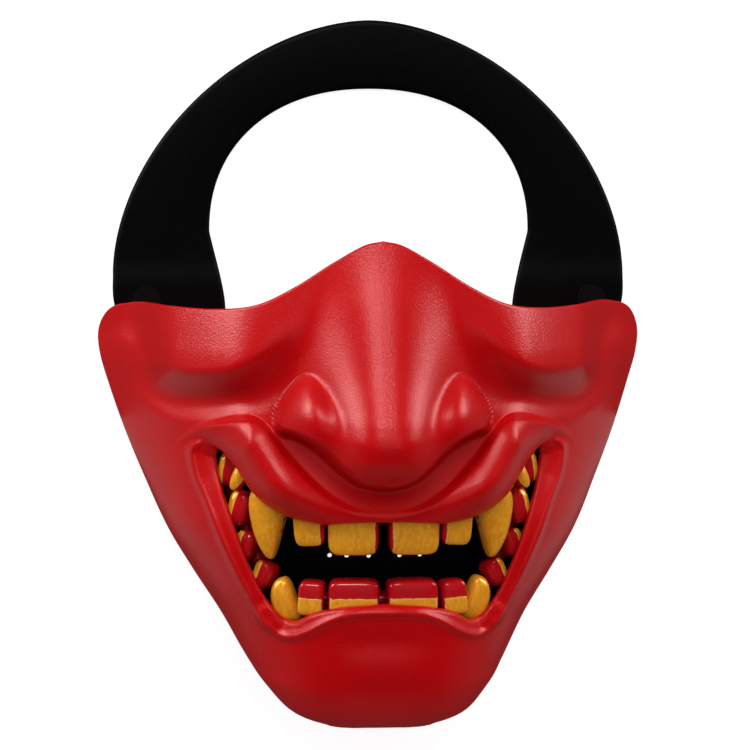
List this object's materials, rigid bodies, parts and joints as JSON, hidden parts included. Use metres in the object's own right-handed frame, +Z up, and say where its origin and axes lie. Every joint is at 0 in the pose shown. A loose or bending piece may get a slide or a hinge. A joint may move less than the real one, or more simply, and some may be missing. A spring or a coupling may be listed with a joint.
{
  "type": "demon half mask",
  "caption": "Red moulded half mask of a demon's nose, cheeks and jaw, with golden fangs and teeth and a black foam head strap.",
  "frame": {"origin": "on the surface that the mask lies on, under the middle of its outer box", "axes": "+Z up, the way the face looks; +Y from the chin to the top of the strap; +X to the right in a view of the mask's front"},
  "size_m": [0.1874, 0.2354, 0.1031],
  "materials": {
    "mask_shell": "satin red paint on moulded plastic",
    "gums": "glossy red varnish",
    "teeth": "hand-painted gold",
    "head_strap": "near-black foam, satin",
    "studs_and_panel": "black plastic"
  },
  "bodies": {
    "root": {"head_strap": "head_strap", "lower_fang_left": "teeth", "lower_fang_right": "teeth", "lower_gum": "gums", "lower_incisor_left": "teeth", "lower_incisor_right": "teeth", "lower_lateral_left": "teeth", "lower_lateral_right": "teeth", "mask_shell": "mask_shell", "mouth_screen": "studs_and_panel", "side_gum_left": "gums", "side_gum_right": "gums", "side_tooth_1_left": "teeth", "side_tooth_1_right": "teeth", "side_tooth_2_left": "teeth", "side_tooth_2_right": "teeth", "side_tooth_3_left": "teeth", "side_tooth_3_right": "teeth", "side_tooth_4_left": "teeth", "side_tooth_4_right": "teeth", "strap_cap_left": "studs_and_panel", "strap_cap_right": "studs_and_panel", "strap_stud_left": "studs_and_panel", "strap_stud_right": "studs_and_panel", "upper_fang_left": "teeth", "upper_fang_right": "teeth", "upper_gum": "gums", "upper_incisor_left": "teeth", "upper_incisor_right": "teeth", "upper_lateral_left": "teeth", "upper_lateral_right": "teeth", "upper_premolar_left": "teeth", "upper_premolar_right": "teeth"}
  },
  "joints": []
}
